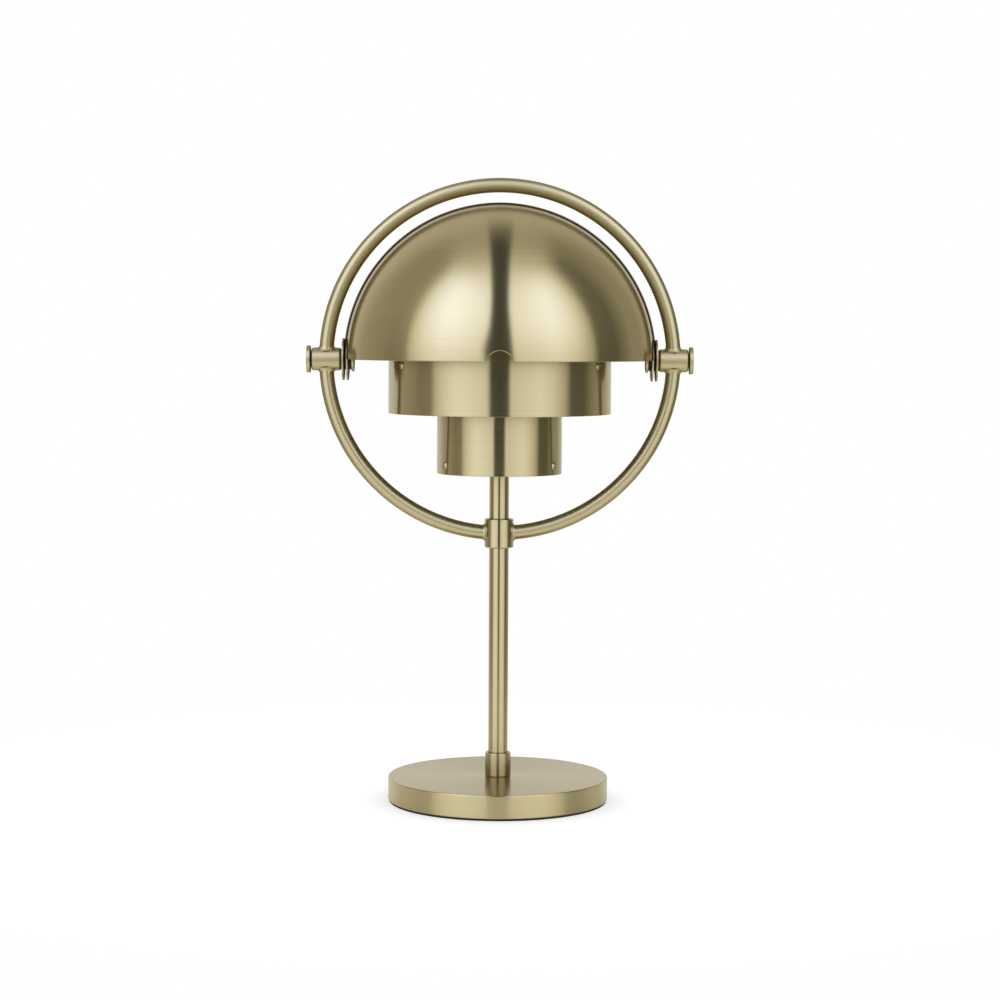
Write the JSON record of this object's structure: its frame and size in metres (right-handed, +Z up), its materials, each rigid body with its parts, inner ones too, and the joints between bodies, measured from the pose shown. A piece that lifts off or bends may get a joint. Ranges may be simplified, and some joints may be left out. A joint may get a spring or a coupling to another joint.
{
  "type": "dome shade desk lamp",
  "caption": "Cordless desk lamp: round base and stem, ring frame that carries two nested quarter-sphere shells over stepped cylinder shades.",
  "frame": {"origin": "on the table, at the middle of the foot pad under the stem", "axes": "+Z up along the stem, the ring lies in the X-Z plane, the front shell faces -Y"},
  "size_m": [0.185, 0.1482, 0.2996],
  "materials": {
    "brushed_brass": "brushed satin brass, fine lines round each turned part",
    "washer_plastic": "black friction washers",
    "steel": "plain steel",
    "housing_aluminium": "turned aluminium",
    "opal_diffuser": "opal acrylic",
    "light_board": "white solder mask",
    "light_chips": "yellow phosphor",
    "circuit_board": "green solder mask",
    "lead_cover": "insulated lead",
    "battery_wrap": "blue film wrap",
    "black_plastic": "moulded black plastic",
    "button_metal": "brushed satin brass",
    "black_pad": "matt black foot pad"
  },
  "bodies": {
    "stand": {"left_pivot_bolt": "brushed_brass", "right_pivot_bolt": "brushed_brass", "outer_washers": "washer_plastic", "sleeve_washers": "washer_plastic", "shade_washers": "washer_plastic", "nut_washers": "washer_plastic", "pivot_nuts": "brushed_brass", "left_sleeve": "brushed_brass", "right_sleeve": "brushed_brass", "ring_top_arc": "brushed_brass", "ring_left_arc": "brushed_brass", "ring_right_arc": "brushed_brass", "ring_collar": "brushed_brass", "ring_collar_screw": "steel", "stem_tube": "brushed_brass", "base_collar": "brushed_brass", "upper_shade": "brushed_brass", "upper_spider": "steel", "upper_rivets": "brushed_brass", "lower_shade": "brushed_brass", "lower_spider": "steel", "lower_rivets": "brushed_brass", "spider_hub": "steel", "spider_hub_screw": "steel", "spider_screws": "steel", "lamp_housing": "housing_aluminium", "housing_screws": "steel", "led_board": "light_board", "led_chips": "light_chips", "diffuser": "opal_diffuser", "lamp_leads": "lead_cover", "base_weight": "brushed_brass", "base_pad": "black_pad", "base_cover": "steel", "cover_screws": "steel", "stem_nut": "steel", "battery": "battery_wrap", "battery_leads": "lead_cover", "control_board": "circuit_board", "board_screws": "steel", "charging_socket": "steel", "dimmer_switch": "black_plastic", "button_guide": "black_plastic"},
    "front_shade": {"front_shell": "brushed_brass", "front_ears": "brushed_brass"},
    "back_shade": {"back_shell": "brushed_brass", "back_ears": "brushed_brass"},
    "button": {"dimmer_button": "button_metal"}
  },
  "joints": [
    {"name": "front_shade_hinge", "type": "hinge", "parent": "stand", "child": "front_shade", "pos_m": [0, 0, 0.213], "axis": [1, 0, 0], "range_deg": [-90, 90]},
    {"name": "back_shade_hinge", "type": "hinge", "parent": "stand", "child": "back_shade", "pos_m": [0, 0, 0.213], "axis": [1, 0, 0], "range_deg": [-90, 90]},
    {"name": "dimmer_press", "type": "slide", "parent": "stand", "child": "button", "axis": [0, -1, 0], "range_m": [0, 0.0005], "stiffness_N_per_m": 800, "springref_m": -0.0005}
  ]
}
